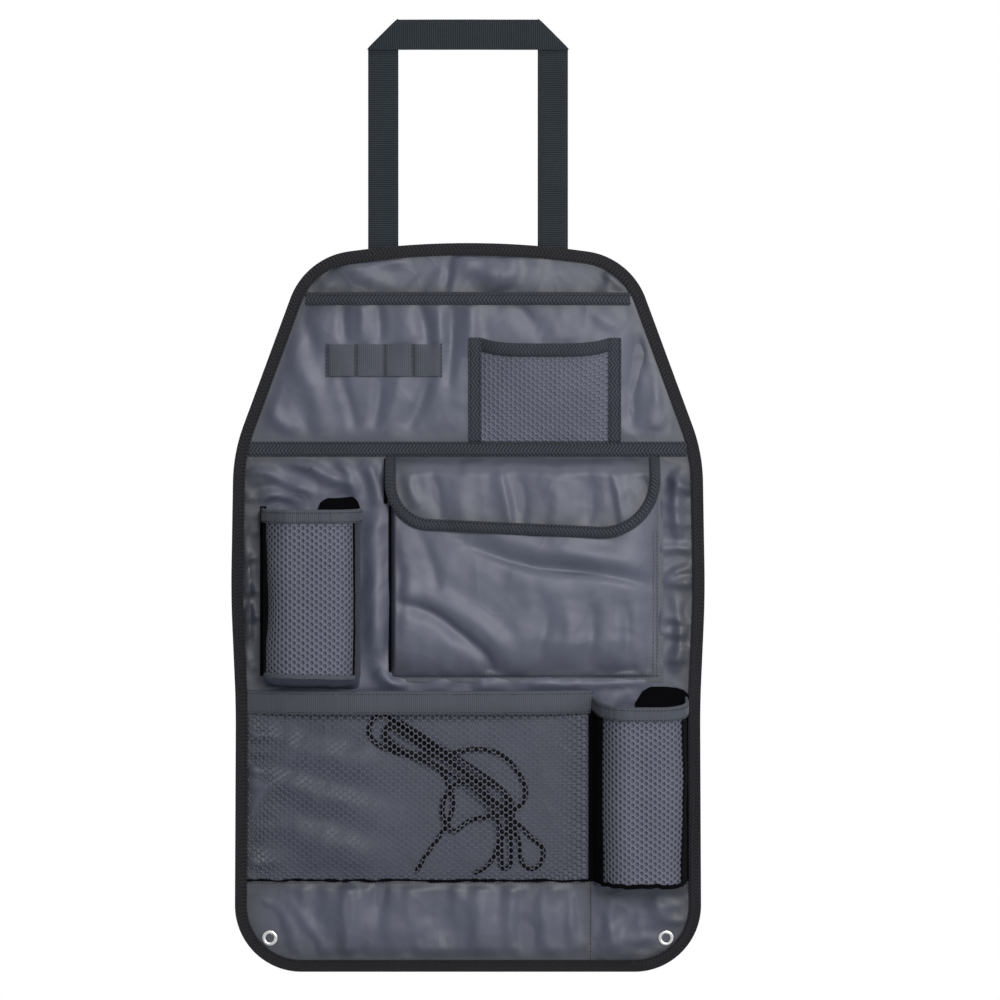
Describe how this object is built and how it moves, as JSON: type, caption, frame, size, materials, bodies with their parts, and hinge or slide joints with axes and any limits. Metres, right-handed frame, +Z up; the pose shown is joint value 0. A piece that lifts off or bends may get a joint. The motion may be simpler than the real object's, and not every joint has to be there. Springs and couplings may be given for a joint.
{
  "type": "car seat back organizer",
  "caption": "Cloth seat back organizer with a webbing hanging loop, net pockets, a flap pocket, pen loops and bottle holders.",
  "frame": {"origin": "middle of the back panel's rear face, which lies on the seat back", "axes": "+Z up along the panel towards the hanging loop, +Y out of the rear face into the seat, +X to the right as seen from the front"},
  "size_m": [0.3902, 0.0479, 0.7865],
  "materials": {
    "cloth": "coated polyester cloth with a soft sheen",
    "pocket_cloth": "coated polyester cloth with a soft sheen",
    "tape": "ribbed binding tape",
    "webbing": "matte woven webbing",
    "net": "knitted diamond net",
    "band": "elastic band",
    "nickel": "bright nickel plate",
    "cord": "braided elastic cord"
  },
  "bodies": {
    "root": {"back_panel": "cloth", "edge_binding": "tape", "hanging_strap": "webbing", "middle_tape": "tape", "upper_pocket_front": "pocket_cloth", "upper_pocket_binding": "tape", "pen_loop_band": "band", "card_pocket_net": "net", "card_pocket_top_band": "tape", "card_pocket_left_tape": "tape", "card_pocket_right_tape": "tape", "flap_pocket_bag": "pocket_cloth", "flap": "pocket_cloth", "flap_binding": "tape", "lower_pocket_net": "net", "lower_pocket_top_band": "band", "lower_pocket_strip": "pocket_cloth", "elastic_cord": "cord", "left_holder_net": "net", "left_holder_top_band": "band", "left_holder_base": "pocket_cloth", "right_holder_net": "net", "right_holder_top_band": "band", "right_holder_base": "pocket_cloth", "left_eyelet": "nickel", "left_eyelet_washer": "nickel", "right_eyelet": "nickel", "right_eyelet_washer": "nickel"}
  },
  "joints": []
}
